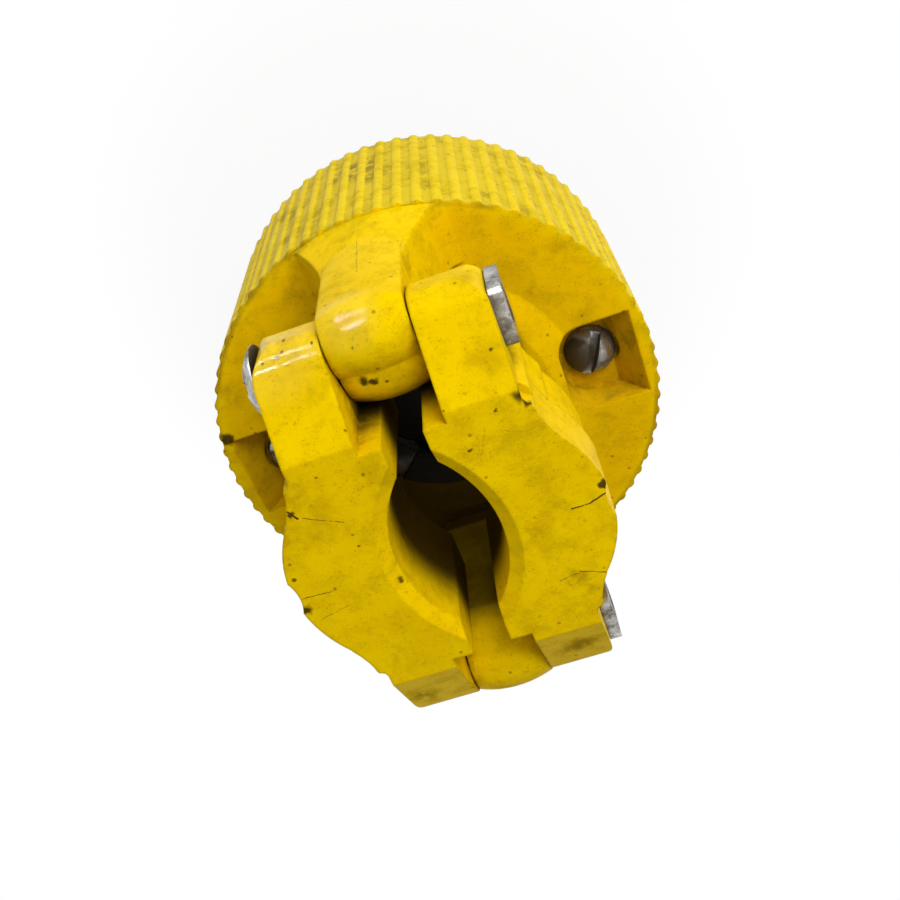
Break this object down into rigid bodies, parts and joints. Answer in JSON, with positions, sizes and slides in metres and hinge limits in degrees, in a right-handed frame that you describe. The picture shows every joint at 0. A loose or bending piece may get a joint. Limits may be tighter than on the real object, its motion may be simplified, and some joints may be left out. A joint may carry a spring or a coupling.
{
  "type": "locking power plug",
  "caption": "Yellow ribbed locking power plug with curved blades at the front and a screw-drawn two-jaw cord clamp on lugs at the back.",
  "frame": {"origin": "centre of the footprint at the blade tips", "axes": "+Z from the blade tips to the cord end, +Y along the line through the two lugs, +X toward the nuts of the clamp screws"},
  "size_m": [0.0562, 0.0562, 0.0794],
  "materials": {
    "yellow_body": "moulded, soiled with use",
    "steel": "dull, dirt in the slots",
    "front_insulator": "matt moulding",
    "rear_insulator": "matt moulding",
    "brass": "drawn strip",
    "plated_brass": "nickel plate",
    "green_screw": "green"
  },
  "bodies": {
    "root": {"housing": "yellow_body", "jaw_left": "yellow_body", "jaw_right": "yellow_body", "clamp_screw_top": "steel", "clamp_screw_bottom": "steel", "clamp_nut_top": "steel", "clamp_nut_bottom": "steel", "assembly_screw_left": "steel", "assembly_screw_right": "steel", "blade_carrier": "front_insulator", "terminal_block": "rear_insulator", "blade_x": "brass", "blade_y": "brass", "blade_z": "plated_brass", "blade_ground": "plated_brass", "clamp_plate_x": "brass", "clamp_plate_y": "brass", "clamp_plate_z": "plated_brass", "clamp_plate_ground": "green_screw", "terminal_screw_x": "brass", "terminal_screw_y": "brass", "terminal_screw_z": "plated_brass", "terminal_screw_ground": "green_screw", "insert_left": "brass", "insert_right": "brass"}
  },
  "joints": []
}
